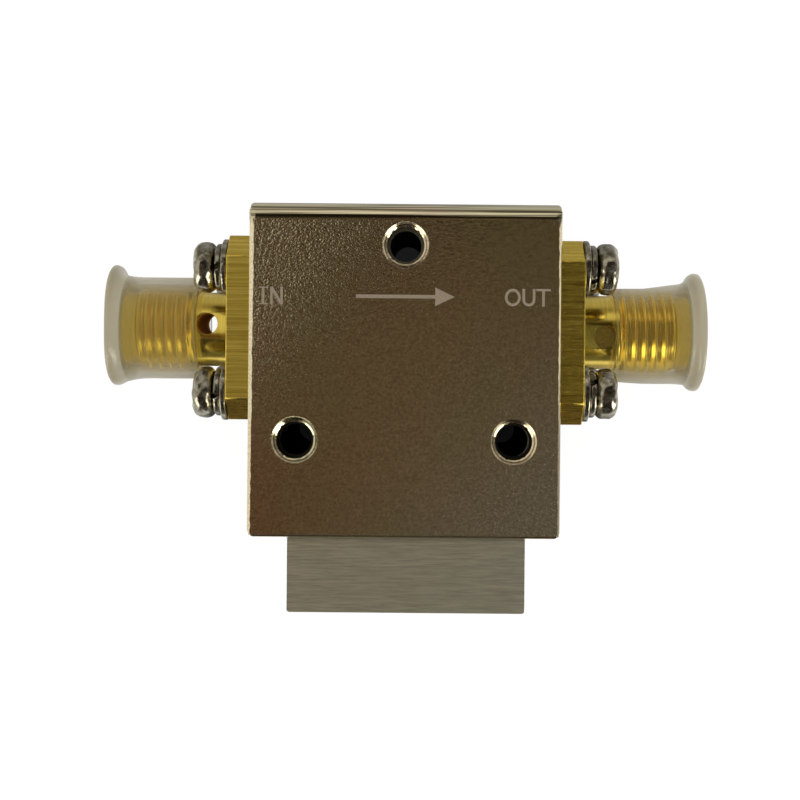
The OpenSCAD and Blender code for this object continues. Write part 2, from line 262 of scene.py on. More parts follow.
def nickel_plate(look):
    """Satin nickel on rolled sheet steel. The plating keeps the sheet's pebbled grain, about a fifth of a
    millimetre wide and deepest towards the input's back corner. The bend is rubbed bright along its length."""
    material, put, place = start_material("nickel_plate")
    spot = put("SeparateXYZ", place, out="all")
    tilt = put("ABSOLUTE", put("SeparateXYZ", put("NewGeometry", out="True Normal"), out="Z"))
    axis = axis_distance(put, place, HOLE_SPOTS)
    bent = put("MapRange", spot["Y"], YOKE_HIGH.y - BEND_R, YOKE_HIGH.y - 1.0 * MM)

    # Relief: pebbles on the flat front, away from the holes' countersinks, and drawn lines on the bend
    pebbles = put("TexNoise", Vector=place, Scale=1 / look.grain, Detail=1.5, Roughness=0.5)
    drawn = streaks(put, place, (12, 0.16, 0.16), 2.0)
    corner = put("SUBTRACT", spot["Y"], spot["X"])
    deep = put("MapRange", corner, 1 * MM, 13 * MM, 0.05, 1.0)
    flat = together(put, put("GREATER_THAN", tilt, 0.9995),
                    put("GREATER_THAN", axis, HOLE_R + 0.33 * MM))
    pebble = together(put, pebbles, deep, flat)
    steep = put("MapRange", spot["Y"], YOKE_HIGH.y - 0.95 * MM, YOKE_HIGH.y - 0.6 * MM, 0.006 * MM, 0.022 * MM)
    depth = put("Mix", bent, look.relief, steep)
    bump = put("Bump", Height=put("Mix", bent, pebble, drawn), Strength=1.0, Distance=depth)

    # Colour: the pebbles' hollows and the drawn lines hold dirt, and large clouds tint the plating a little
    satin = put("ValToRGB", pebbles, stops=[(0.3, "#cbbf9c"), (0.65, (*look.nickel, 1.0))])
    rubbed = put("ValToRGB", drawn, stops=[(0.4, "#8d836a"), (0.56, "#efe4c6")])
    cloud = put("TexNoise", Vector=place, Scale=1 / (9 * MM), Detail=1.0)
    tone = put("ValToRGB", cloud, stops=[(0.42, "#fff8f5"), (0.58, "#f9fbf3")])
    base = put("Mix.RGBA", 1.0, put("Mix.RGBA", bent, satin, rubbed), tone, blend_type="MULTIPLY")

    # Each countersink is painted with shade: a near-black lower edge and wall, and a darker ring between two bright
    # ones
    off = put("MapRange", axis, HOLE_R, HOLE_R + 0.3 * MM)
    rim = put("ValToRGB", off, stops=[
        (0.0, (0.02, 0.018, 0.014, 1)), (0.02, WHITE), (0.3, WHITE), (0.42, (0.42, 0.41, 0.4, 1)),
        (0.6, (0.45, 0.44, 0.43, 1)), (0.75, WHITE)])
    base = put("Mix.RGBA", 1.0, base, rim, blend_type="MULTIPLY")

    # The filed edge on the output side is darkened with painted shade, most towards the foot
    sloped = put("LESS_THAN", tilt, 0.985)
    far = put("GREATER_THAN", spot["X"], FILED_FROM)
    low = put("MapRange", spot["Y"], -4.5 * MM, 1.5 * MM, 0.62, 0.0)
    base = put("Mix.RGBA", together(put, sloped, far, low), base, "#3c3830")
    shade(put, Metallic=1.0, Base_Color=base, Roughness=put("Mix", bent, 0.19, 0.12), Normal=bump)
    return material


def brushed_aluminium():
    """Bare machined aluminium, rubbed across the body: long fine streaks, satin, with painted shade in the step below
    the yoke's edge. The bores are painted dark as painted shade, but for a painted glint on the step in one of them."""
    material, put, place = start_material("brushed_aluminium")
    streak = streaks(put, place, (2, 0.13, 0.13), 3.0, 0.65)
    shades = put("ValToRGB", streak, stops=[(0.33, "#c4bea4"), (0.67, "#e9e3ca")])
    high = put("SeparateXYZ", place, out="Y")
    # Painted shade in the step below the yoke's edge
    step_shade = put("MapRange", high, YOKE_LOW.y - 0.45 * MM, YOKE_LOW.y, 1.0, 0.45)
    base = put("VectorMath.SCALE", shades, step_shade)
    # The bores are painted dark as painted shade, a little lighter towards the top
    inside = put("LESS_THAN", axis_distance(put, place, HOLE_SPOTS), HOLE_R + 0.01 * MM)
    bore_shade = put("VectorMath.SCALE", (1.0, 0.98, 0.74), put("MapRange", high, 0.0, 8 * MM, 0.05, 0.3))
    base = put("Mix.RGBA", inside, base, bore_shade)
    # A painted highlight on the step in one bore
    x, y = HOLE_SPOTS[2]
    step = put("COMPARE", axis_distance(put, place, HOLE_SPOTS[2:]), 1.06 * MM, 0.035 * MM)
    painted_glint = put("VectorMath.DISTANCE", place, (x + 1.0 * MM, y - 0.15 * MM, 14 * MM))
    painted_glint = put("MapRange", painted_glint, 0.3 * MM, 1.2 * MM, 0.9, 0.0)
    base = put("Mix.RGBA", together(put, step, painted_glint), base, "#ded8c8")
    bump = put("Bump", Height=streak, Strength=0.5, Distance=0.012 * MM)
    shade(put, Metallic=1.0, Base_Color=base, Roughness=put("MapRange", streak, 0.0, 1.0, 0.48, 0.34), Normal=bump)
    return material


def gold_plate():
    """Gold flash on brass: bright, with saw lines across the flange and fine turned rings on the rest. Below the port
    axis, gold seen in the grooves of gold is painted paler, a painted highlight colour for the thread's lemon glints."""
    material, put, place = start_material("gold_plate")
    spot = put("SeparateXYZ", place, out="all")
    tilt = put("SeparateXYZ", put("NewGeometry", out="True Normal"), out="all")
    turned = put("GREATER_THAN", put("ABSOLUTE", spot["X"]), FLANGE_END)
    saw = streaks(put, place, (9, 0.13, 0.4), 4.0, 0.75)
    ring = streaks(put, place, (0.09, 3, 3), 2.0, 0.6)
    lines = put("Mix", turned, saw, put("MapRange", ring, 0.0, 1.0, 0.4, 0.68))
    shades = put("ValToRGB", lines, stops=[(0.35, "#c9a843"), (0.64, "#f3d868")])
    # Painted highlight colour: gold seen in reflections below the port axis is paler
    mirrored = put("LightPath", out="Is Glossy Ray")
    low = put("MapRange", spot["Y"], PORT_Y - 0.4 * MM, PORT_Y - 1.1 * MM)
    shades = put("Mix.RGBA", together(put, mirrored, low), shades, "#fff0a8")

    # The cross hole's wall is stained and dull, and the flange's lower corner cuts are darkened with painted shade
    stain = in_cross_hole(put, place)
    base = put("Mix.RGBA", stain, shades, "#c8902c")
    lower_cut_shade = put("SUBTRACT", put("MapRange", tilt["Y"], -0.4, -0.6, turned, 1.0), turned)
    base = put("Mix.RGBA", lower_cut_shade, base, "#9c7d2a")

    # The input flange's front face is the duller one
    face = together(put, put("GREATER_THAN", tilt["Z"], 0.98), put("LESS_THAN", spot["X"], 0.0))
    rough = put("Mix", turned, put("MapRange", face, 0.0, 1.0, 0.24, 0.41), 0.2)
    depth = put("MapRange", turned, 0.0, 1.0, 0.03 * MM, 0.004 * MM)
    shade(put, Metallic=put("SUBTRACT", 1.0, stain), Base_Color=base, Roughness=put("Mix", stain, rough, 1.0),
          Normal=put("Bump", Height=lines, Strength=1.0, Distance=depth))
    return material


def stainless_steel():
    """Barrel-tumbled stainless steel, a little stained: its soft dents are in the shape, and finer ones here."""
    material, put, place = start_material("stainless_steel")
    dents = put("TexNoise", Vector=place, Scale=1 / (0.45 * MM), Detail=2.0, Roughness=0.5)
    stain = put("TexNoise", Vector=place, Scale=1 / (0.5 * MM), Detail=3.0, Roughness=0.6)
    shade(put, Metallic=1.0, Base_Color=put("ValToRGB", stain, stops=[(0.35, "#726c59"), (0.65, "#b2ac9b")]),
          Roughness=put("MapRange", stain, 0.0, 1.0, 0.3, 0.14),
          Normal=put("Bump", Height=dents, Strength=1.0, Distance=0.022 * MM))
    return material


def cap_polythene(look):
    """Thin natural polythene: clear enough to show the thread, milky at the sides and where the end wall is deep.
    The metal inside mirrors its wall, which is given a painted glow, a faint emission that stands in for the room's
    light."""
    material, put, place = start_material("cap_polythene")
    cloud = put("TexNoise", Vector=place, Scale=1 / (2.5 * MM), Detail=2.0)
    shades = put("ValToRGB", cloud, stops=[(0.3, "#aea487"), (0.7, (*look.polythene, 1.0))])
    facing = put("LayerWeight", Blend=0.5, out="Facing")
    spot = put("SeparateXYZ", place, out="X")
    along = put("ABSOLUTE", spot)

    # How much one wall hides: least square on, more over the nose, and nearly all at the end
    thin = put("MapRange", spot, -MM, MM, *look.veil)
    side = put("MapRange.SMOOTHSTEP", facing, 0.12, 0.7, thin, 0.75)
    nose = put("MapRange", along, CAP_END - 2.1 * MM, CAP_END - 1.7 * MM, 0.0, 0.34)
    end = put("MapRange", along, CAP_END - 1.12 * MM, CAP_END - 0.92 * MM, 0.0, 0.93)
    milk = put("MAXIMUM", put("MAXIMUM", side, nose), end)
    inner = put("LightPath", out="Is Glossy Ray")
    veil = together(put, inner, put("MapRange", spot, -MM, MM, 0.45, 0.1))

    clear = put("MapRange", facing, 0.12, 0.6)
    shades = put("Mix.RGBA", clear, "#a8985a", shades)
    shades = put("Mix.RGBA", end, shades, "#c2bba4")
    # Painted light: the wall glows faintly, seen only by reflected rays
    shade(put, Base_Color=shades, Roughness=0.3, IOR=1.51, Alpha=put("MAXIMUM", milk, veil),
          Emission_Color="#e6dfc0", Emission_Strength=put("MULTIPLY", inner, 0.4))
    return material


def speckled(name, dark, light, grit, stain=None, **sockets):
    """A dull finish whose colour wanders a little between two shades, grit by grit. A stain is the colour of the
    cross hole's wall."""
    material, put, place = start_material(name)
    spots = put("TexNoise", Vector=place, Scale=1 / grit, Detail=3.0, Roughness=0.6)
    base = put("ValToRGB", spots, stops=[(0.35, dark), (0.65, light)])
    if stain:
        wall = in_cross_hole(put, place)
        base = put("Mix.RGBA", wall, base, stain)
        sockets["Roughness"] = put("MapRange", wall, 0.0, 1.0, sockets["Roughness"], 1.0)
    shade(put, Base_Color=base, Normal=put("Bump", Height=spots, Strength=0.4, Distance=grit / 8), **sockets)
    return material


# ---------------- settings


def length(name, description, millimetres):
    """A length that a user can change."""
    return FloatProperty(
        name=name, description=description, default=millimetres * MM, unit="LENGTH", precision=6)


class ISOLATOR_PG_yoke(PropertyGroup):
    grain: length("Grain", "Width of the specks in the plated sheet", 0.145)
    relief: length("Relief", "Height of the specks", 0.038)
    nickel: FloatVectorProperty(
        name="Nickel", description="Colour of the plating in white light", default=linear("#e4d8b6")[:3],
        subtype="COLOR", min=0, max=1)
    filed: FloatVectorProperty(
        name="Filed edges", description="Width of the filed edge on the input and output sides", size=2,
        default=(0.34 * MM, 0.15 * MM), precision=6)
    worn_corner: length("Worn corner", "Radius of the corners", 0.6)
    worn_edge: length("Worn edge", "Width of the worn lower edges", 0.2)


class ISOLATOR_PG_connector(PropertyGroup):
    pitch: length("Pitch", "Pitch of the thread", 0.7056)
    turns: FloatProperty(name="Turns", description="Number of thread turns", default=6.0)
    crest: length("Crest radius", "Radius over the thread's crests", 3.175)
    depth: length("Depth", "Depth of the thread", 0.43)
    start: length("Start", "Distance from the junction to the thread", 15.0)
    corner: length("Corner cut", "Distance of the flange's corner cuts from the axis, up plus across", 11.216)
    flange_off: FloatVectorProperty(
        name="Flange offset", description="How far each flange sits above the port axis", size=2,
        default=(0.06 * MM, -0.12 * MM), precision=6)


class ISOLATOR_PG_fasteners(PropertyGroup):
    pitch: length("Pitch", "Distance between neighbouring screws", 8.64)
    lump: length("Lump height", "Height of the dents in the screw heads", 0.075)
    lump_size: length("Lump size", "Width of the dents", 0.9)
    mesh: length("Mesh size", "Longest edge of the dented mesh", 0.17)
    settled: FloatVectorProperty(
        name="Settled", description="How far each set sits above the port axis", size=2,
        default=(-0.1 * MM, 0.0), precision=6)


class ISOLATOR_PG_cap(PropertyGroup):
    polythene: FloatVectorProperty(
        name="Polythene", description="Colour of the caps", default=linear("#b9b195")[:3], subtype="COLOR",
        min=0, max=1)
    veil: FloatVectorProperty(
        name="Veil", description="How much one face of each cap's wall hides, seen square on", size=2,
        default=(0.2, 0.1), min=0, max=1)
    facets: IntProperty(name="Facets", description="Facets round each cap", default=128)


class ISOLATOR_PG_marks(PropertyGroup):
    height: length("Height", "Height of the port marks", 1.17)
    line: length("Line", "Height of the marks' middle line above the junction", 5.17)


class ISOLATOR_PG_stage(PropertyGroup):
    camera_height: length("Camera height", "Height of the camera above the table", 97.5)
    roll: FloatProperty(
        name="Roll", description="How far the camera is turned", default=math.radians(0.5), subtype="ANGLE")
    level: FloatProperty(
        name="Level", description="Light from all round, where 1 shows a colour as it is written", default=0.8)
    window: FloatVectorProperty(
        name="Windows", description="How bright the window on the input side and the one on the output side are, "
        "where 1 is the white table", size=2, default=(4.0, 7.0))


# ---------------- pieces


class ISOLATOR_OT_yoke(Operator):
    """Dresses the bent yoke: whole flats, worn edges and plated grain"""

    bl_idname = "isolator.yoke"
    bl_label = "Bent yoke"

    def execute(self, context):
        look = context.scene.isolator_yoke
        worn_bend, rim = 0.22 * MM, 0.24 * MM
        bm = merged_copy("yoke")
        make_flats(bm)
        bevel(bm, bend_ends(bm), worn_bend, 3, True)
        for way in SIDES.values():
            cut(bm, (way * FILED_FROM, 0, 0), (1, 0, 0))
        file_edges(bm, look)
        for way in SIDES.values():
            round_corner(bm, way, look.worn_corner)
        # The countersinks are a little shallower than the solid's
        for v in bm.verts:
            axis = min(math.hypot(v.co.x - x, v.co.y - y) for x, y in HOLE_SPOTS)
            if abs(axis - HOLE_R) < 0.02 * MM and FRONT - 0.4 * MM < v.co.z < FRONT - 0.2 * MM:
                v.co.z = FRONT - rim
        wear_foot(bm, look.worn_edge)
        finish_piece("plated_yoke", bm, nickel_plate(look), 30, "yoke")
        return {"FINISHED"}


def round_corner(bm, way, radius):
    """Cuts a lower corner of both walls to an arc, facet by facet, and closes each cut."""
    middle = Vector((way * (YOKE_HIGH.x - radius), YOKE_LOW.y + radius, 0))
    for turn in (22.5, 45, 67.5):
        out = Vector((way * math.sin(math.radians(turn)), -math.cos(math.radians(turn)), 0))
        open_edges = cut(bm, middle + out * radius, out, clear_outer=True)
        bmesh.ops.holes_fill(bm, edges=[g for g in open_edges if isinstance(g, bmesh.types.BMEdge)], sides=0)


def bend_ends(bm):
    """The sharp edges at both ends of the bend and of the wall behind it."""
    near = 0.01 * MM

    def outer(co):
        if abs(co.y - YOKE_HIGH.y) < near:
            return True
        z = max(min(co.z, FRONT - BEND_R), BEND_R)
        reach = math.hypot(co.y - YOKE_HIGH.y + BEND_R, co.z - z)
        return co.y > YOKE_HIGH.y - 1.0 * MM and abs(reach - BEND_R) < near

    return [e for e in sharp_edges(bm, 50)
            if all(abs(abs(v.co.x) - YOKE_HIGH.x) < near and outer(v.co) for v in e.verts)]


def file_edges(bm, look):
    """The front's side edges are filed to slightly uneven slopes, which show as bright strips, wider at the bend."""
    rows, start = 100, 0.3  # where the slope starts, as a share of the edge's quarter circle
    for i in range(1, rows):
        cut(bm, (0, YOKE_LOW.y + (YOKE_HIGH.y - YOKE_LOW.y - 1.3 * MM) * i / rows, 0), (0, 1, 0))
    for v in bm.verts:
        over = v.co.z - (FRONT - EDGE_R)
        out = abs(v.co.x) - (YOKE_HIGH.x - EDGE_R)
        if over < -0.2 * MM or out < -0.01 * MM or v.co.y > YOKE_HIGH.y - 1.25 * MM:
            continue
        way = 1 if v.co.x > 0 else -1
        up = (v.co.y - YOKE_LOW.y) / (YOKE_HIGH.y - YOKE_LOW.y)
        share = math.atan2(max(over, 0), max(EDGE_R - (YOKE_HIGH.x - abs(v.co.x)), 1e-9)) / (math.pi / 2)
        wave = noise.noise(Vector((way, v.co.y / (0.4 * MM), 7.3)))
        wide = look.filed[0 if way < 0 else 1] * (0.62 + 0.38 * up) + 0.06 * MM * wave * share
        inset, steep = (0.0, 0.0) if way < 0 else ((0.03 - 0.03 * up) * MM, 0.07 * MM)
        slope = max(share - start, 0) / (1 - start) if steep else share
        v.co.x = way * (YOKE_HIGH.x - inset - steep * min(share / start, 1) - wide * slope)
        v.co.z = FRONT - wide * (1 - slope) - 2 * steep * (1 - min(share / start, 1))
    bmesh.ops.remove_doubles(bm, verts=bm.verts, dist=0.002 * MM)


def wear_foot(bm, radius):
    """Rounds the lower edge of both walls' outer faces, row by row."""
    for turn in range(0, 90, 15):
        cut(bm, (0, YOKE_LOW.y + radius * (1 - math.sin(math.radians(turn))), 0), (0, 1, 0))
    for v in bm.verts:
        past = 1 - (v.co.y - YOKE_LOW.y) / radius
        if past > 0 and not 0.6 * MM < v.co.z < FRONT - 0.6 * MM:
            drop = radius * (1 - math.sqrt(max(1 - past * past, 0)))
            v.co.z += -drop if v.co.z > PORT_Z else drop


class ISOLATOR_OT_housing(Operator):
    """Finishes the housing and its load foot as brushed aluminium"""

    bl_idname = "isolator.housing"
    bl_label = "Housing"

    def execute(self, context):
        paint(["housing", "load_plug"], brushed_aluminium())
        return {"FINISHED"}


class ISOLATOR_OT_junction(Operator):
    """Finishes the pieces inside the junction and the connectors"""

    bl_idname = "isolator.junction"
    bl_label = "Junction"

    def execute(self, context):
        # Sintered ferrite is dull and nearly black, nickel on the magnets is brighter than ground steel, fired
        # alumina is white and dull, turned PTFE is white and waxy, and the resin cures dark amber
        ends = ("front", "rear")
        paint([f"{end}_ferrite" for end in ends],
              speckled("ferrite", "#1d1b1a", "#2c2a28", 0.1 * MM, Roughness=0.45))
        paint([f"{end}_magnet" for end in ends],
              speckled("magnet_plating", "#a9a79f", "#bdbbb3", 0.3 * MM, Roughness=0.3, Metallic=1.0))
        paint([f"{end}_{plate}" for end in ends for plate in ("pole_plate", "compensation_plate")],
              speckled("ground_steel", "#8d8a83", "#a5a29a", 0.2 * MM, Roughness=0.4, Metallic=1.0))
        paint(["load_resistor"], speckled("alumina", "#ddd9cd", "#e9e6db", 0.15 * MM, Roughness=0.5))
        paint([f"{side}_insulator" for side in SIDES],
              speckled("ptfe", "#eceae2", "#f5f4ee", 0.5 * MM, "#b4842a", Roughness=0.4, IOR=1.35))
        paint(["output_epoxy_plug"],
              speckled("cured_epoxy", "#665314", "#80681f", 0.16 * MM, Roughness=0.5, Specular_IOR_Level=0.2))
        return {"FINISHED"}


class ISOLATOR_OT_connectors(Operator):
    """Dresses both connector bodies and winds their threads"""

    bl_idname = "isolator.connectors"
    bl_label = "Connectors"

    def execute(self, context):
        sizes = context.scene.isolator_connector
        gold, tree = gold_plate(), thread_tree()
        paint(["centre_conductor", "input_contact", "output_contact"], gold)
        for side, way in SIDES.items():
            bm = merged_copy(f"{side}_connector_body")
            shape_body(bm, sizes, way)
            bmesh.ops.dissolve_degenerate(bm, dist=0.0005 * MM, edges=bm.edges)
            make_flats(bm)
            bevel_body(bm, sizes)
            body = finish_piece(f"{side}_gold_body", bm, gold, 32, f"{side}_connector_body")
            wind_thread(body, tree, sizes, way, gold)
            for face in body.data.polygons:
                if face.area > MM * MM and abs(face.center.x) < FLANGE_END:
                    face.use_smooth = False
        return {"FINISHED"}


def shape_body(bm, sizes, way):
    """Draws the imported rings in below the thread's root, moves the flange and trims its corners."""
    root = sizes.crest - sizes.depth - 0.015 * MM
    end = sizes.start + sizes.turns * sizes.pitch
    for v in bm.verts:
        out = Vector((v.co.y - PORT_Y, v.co.z - PORT_Z))
        if sizes.start - 0.001 * MM < abs(v.co.x) < end + 0.001 * MM and out.length > root:
            out *= root / out.length
            v.co.y, v.co.z = PORT_Y + out.x, PORT_Z + out.y
        if abs(v.co.x) < FLANGE_END + 0.01 * MM and out.length > 4 * MM:
            past = max(abs(out.x) + abs(out.y) - sizes.corner, 0) / 2
            v.co.y += sizes.flange_off[0 if way < 0 else 1] - math.copysign(past, out.x)
            v.co.z -= math.copysign(past, out.y)


def bevel_body(bm, sizes):
    """Breaks the sharp edges, first round the flange's own block and then those of the neck and its holes."""
    broken = 0.07 * MM

    def on_outline(edge):
        def reach(v):
            y, z = abs(v.co.y - PORT_Y), abs(v.co.z - PORT_Z)
            return abs(v.co.x) < FLANGE_END + 0.01 * MM and (max(y, z) > 6.1 * MM or y + z > sizes.corner - 0.25 * MM)
        return all(reach(v) for v in edge.verts)

    for outline, clamp in ((True, False), (False, True)):
        edges = [e for e in sharp_edges(bm, 35) if on_outline(e) == outline
                 and max(abs(v.co.x) for v in e.verts) < sizes.start - 0.2 * MM]
        if outline and len(edges) < 16:
            raise RuntimeError("the flange's outline is missing")
        bevel(bm, edges, broken, 2, clamp)


def thread_tree():
    """A grid is rolled into a sleeve whose radius follows the thread's flanks, turn after turn."""
    tree, put, given = start_tree("wound_thread", {
        "Start": 15 * MM, "Pitch": 0.7 * MM, "Turns": 6.0, "Crest Radius": 3.2 * MM, "Depth": 0.4 * MM,
        "Way": 1.0, "Port Y": 3 * MM, "Port Z": 7.5 * MM, "Material": "Material"})
    pitch = given["Pitch"]
    whole = put("MULTIPLY", given["Turns"], pitch)
    grid = put("GeometryNodeMeshGrid", Size_X=whole, Size_Y=math.tau, Vertices_X=133, Vertices_Y=97)
    spot = put("SeparateXYZ", put("GeometryNodeInputPosition"), out="all")
    along = put("ADD", spot["X"], put("MULTIPLY", whole, 0.5))

    # The flanks stand about 60 degrees apart, and crests and roots are an eighth of the pitch wide
    phase = put("SUBTRACT", put("DIVIDE", along, pitch), put("DIVIDE", spot["Y"], math.tau))
    away = put("ABSOLUTE", put("SUBTRACT", put("FRACT", phase), 0.5))
    ridge = put("MULTIPLY", put("SUBTRACT", 7 / 16, away), 16 / 6, use_clamp=True)

    # The thread fades in over 0.7 of a turn and out over 0.5, and both ends sink into the body
    lead_in = put("DIVIDE", along, put("MULTIPLY", pitch, 0.7), use_clamp=True)
    run_out = put("DIVIDE", put("SUBTRACT", whole, along), put("MULTIPLY", pitch, 0.5), use_clamp=True)
    full = put("MULTIPLY", lead_in, run_out)
    height = put("MULTIPLY", put("MULTIPLY", ridge, given["Depth"]), full)
    sunk = put("MULTIPLY", put("SUBTRACT", 1.0, full), 0.02 * MM)
    root = put("SUBTRACT", put("SUBTRACT", given["Crest Radius"], given["Depth"]), sunk)
    radius = put("ADD", root, height)

    across = put("MULTIPLY", put("MULTIPLY", radius, put("COSINE", spot["Y"])), given["Way"])
    rolled = put("CombineXYZ", put("MULTIPLY", put("ADD", given["Start"], along), given["Way"]),
                 put("ADD", given["Port Y"], across),
                 put("ADD", given["Port Z"], put("MULTIPLY", radius, put("SINE", spot["Y"]))))
    sleeve = put("GeometryNodeSetPosition", Geometry=grid, Position=rolled)
    closed = put("GeometryNodeMergeByDistance", Geometry=sleeve, Distance=0.001 * MM)
    real = put("GeometryNodeRealizeInstances", Geometry=put("GeometryNodeSetShadeSmooth", Geometry=closed))
    put("NodeGroupOutput", Geometry=put("GeometryNodeSetMaterial", Geometry=real, Material=given["Material"]))
    return tree


def wind_thread(body, tree, sizes, way, material):
    """Makes one thread with the tree and joins it to its connector body."""
    bm = bmesh.new()
    bm.from_mesh(grow(show("thread", bpy.data.meshes.new("thread")), tree, {
        "Start": sizes.start, "Pitch": sizes.pitch, "Turns": sizes.turns, "Crest Radius": sizes.crest,
        "Depth": sizes.depth, "Way": float(way), "Port Y": PORT_Y, "Port Z": PORT_Z, "Material": material}))
    bm.normal_update()
    face = bm.faces[:][len(bm.faces) // 2]
    out = face.calc_center_median() - Vector((0, PORT_Y, PORT_Z))
    out.x = 0
    if face.normal.dot(out) < 0:
        bmesh.ops.reverse_faces(bm, faces=bm.faces)
    bm.from_mesh(body.data)
    bm.to_mesh(body.data)
    bm.free()
    body.data.set_sharp_from_angle(angle=math.radians(32))


class ISOLATOR_OT_fasteners(Operator):
    """Sets four screws with their washers on each flange, tumbled to soft uneven shapes"""

    bl_idname = "isolator.fasteners"
    bl_label = "Screws and washers"

    def execute(self, context):
        sizes, steel, tree = context.scene.isolator_fasteners, stainless_steel(), corner_tree()
        for side in SIDES:
            for kind, share in (("screws", 1.0), ("flat_washers", 0.4), ("spring_washers", 0.5)):
                set_corners(side, kind, tree, sizes, share * sizes.lump, steel)
        return {"FINISHED"}


def corner_tree():
    """One part is set on four points, each turned its own way, and then every one is dented on its own."""
    tree, put, given = start_tree("corner_set", {
        "Geometry": "Geometry", "Part": "Object", "Lump Height": 0.06 * MM, "Lump Size": 0.8 * MM,
        "Material": "Material"})
    part = put("GeometryNodeObjectInfo", Object=given["Part"], out="Geometry")
    turn = put("GeometryNodeInputNamedAttribute", Name="turn", data_type="FLOAT")
    four = put("GeometryNodeInstanceOnPoints", Points=given["Geometry"], Instance=part,
               Rotation=put("CombineXYZ", turn))
    real = put("GeometryNodeRealizeInstances", Geometry=four)
    size = put("DIVIDE", 1.0, given["Lump Size"])
    rise = put("MapRange", put("TexNoise", Scale=size, Detail=1.0, Roughness=0.4), 0.25, 0.75, -1.0, 0.6)
    high = put("MULTIPLY", rise, given["Lump Height"])
    push = put("VectorMath.SCALE", put("GeometryNodeInputNormal"), high)
    dented = put("GeometryNodeSetPosition", Geometry=real, Offset=push)
    put("NodeGroupOutput", Geometry=put("GeometryNodeSetMaterial", Geometry=dented, Material=given["Material"]))
    return tree


# The upper front, lower front, lower back and upper back corners, how far their screws are turned, and where
# their spring washers are split, in degrees from the top edge of the body towards its front
CORNERS = ((1, 1), (-1, 1), (-1, -1), (1, -1))
HEAD_TURNS = (0, 47, 163, 251)
SPLITS = {"input": (90, 95, 35, 210), "output": (125, 60, 5, -55)}


def set_corners(side, kind, tree, sizes, lump, material):
    """Takes the upper front part of a packed set, and sets it on the flange's four screw axes."""
    node, half = f"{side}_{kind}", sizes.pitch / 2
    bm = merged_copy(node)
    bmesh.ops.delete(bm, geom=[v for v in bm.verts if v.co.y < PORT_Y or v.co.z < PORT_Z], context="VERTS")
    bmesh.ops.translate(bm, verts=bm.verts, vec=(0, -PORT_Y - half, -PORT_Z - half))
    for _ in range(6):
        long = [e for e in bm.edges if e.calc_length() > sizes.mesh]
        if long:
            bmesh.ops.subdivide_edges(bm, edges=long, cuts=1)
            bmesh.ops.triangulate(bm, faces=bm.faces)
    part = show("one_part", make_mesh("one_part", bm))
    points = bpy.data.meshes.new("corners")
    middle = PORT_Y + sizes.settled[0 if side == "input" else 1]
    points.from_pydata([(0, middle + y * half, PORT_Z + z * half) for y, z in CORNERS], [], [])
    turns = SPLITS[side] if kind == "spring_washers" else HEAD_TURNS
    turned = points.attributes.new("turn", "FLOAT", "POINT").data
    turned.foreach_set("value", [math.radians(t - turns[0]) for t in turns])
    bm = bmesh.new()
    bm.from_mesh(grow(show("corners", points), tree, {
        "Part": part, "Lump Height": lump, "Lump Size": sizes.lump_size, "Material": material}))
    bpy.data.objects.remove(part)
    finish_piece(f"{side}_tumbled_{kind}", bm, material, 40, node)


# Each cap, station by station from its open end: distance from the junction, outer radius,
# inner radius and how far the middle has slipped towards the foot, in millimetres
CAP_STATIONS = {
    "input": [
        (14.80, 3.62, 3.23, -0.05), (14.86, 3.69, 3.21, -0.05), (15.6, 3.69, 3.21, -0.05), (18.6, 3.69, 3.21, -0.05),
        (19.1, 3.70, 3.21, -0.04), (19.5, 3.73, 3.21, -0.03), (19.9, 3.78, 3.21, -0.01), (20.25, 3.86, 3.15, 0.0),
        (20.45, 3.94, 2.9, -0.01), (20.6, 4.03, 2.5, -0.02), (20.72, 4.13, 2.0, -0.07), (20.82, 4.25, 1.4, -0.14),
        (20.9, 4.34, 0.7, -0.2), (20.98, 4.37, 0.2, -0.22), (21.05, 4.30, 0.0, -0.22),
    ],
    "output": [
        (14.80, 3.34, 3.14, 0.2), (14.86, 3.40, 3.13, 0.2), (15.6, 3.43, 3.15, 0.21), (16.2, 3.45, 3.19, 0.23),
        (17.2, 3.48, 3.21, 0.25), (18.2, 3.55, 3.21, 0.19), (19.1, 3.61, 3.21, 0.12), (19.8, 3.66, 3.21, 0.09),
        (20.15, 3.75, 3.21, 0.03), (20.35, 3.93, 3.05, -0.03), (20.48, 4.1, 2.7, -0.06), (20.58, 4.2, 2.2, -0.06),
        (20.72, 4.27, 1.4, -0.06), (20.86, 4.29, 0.7, -0.05), (20.98, 4.26, 0.2, -0.05), (21.05, 4.15, 0.0, -0.05),
    ],
}
CAP_SQUARE = {"input": 1.0, "output": 0.5}  # how much of a square each brim has
END_RADII = (4.1, 3.6, 3.0, 2.0, 1.0)  # rings on the end wall's outer face
FLOOR_RADII = (1.0, 2.0, 2.6, 3.0)  # rings on its inner face
CAP_TIP = 21.064  # distance of its outer face from the junction
END_WALL = 0.6 * MM


class ISOLATOR_OT_caps(Operator):
    """Moulds the two soft caps round the connectors"""

    bl_idname = "isolator.caps"
    bl_label = "Caps"

    def execute(self, context):
        look = context.scene.isolator_cap
        soft = cap_polythene(look)
        for side, way in SIDES.items():
            mould_cap(side, way, look.facets, soft)
        return {"FINISHED"}


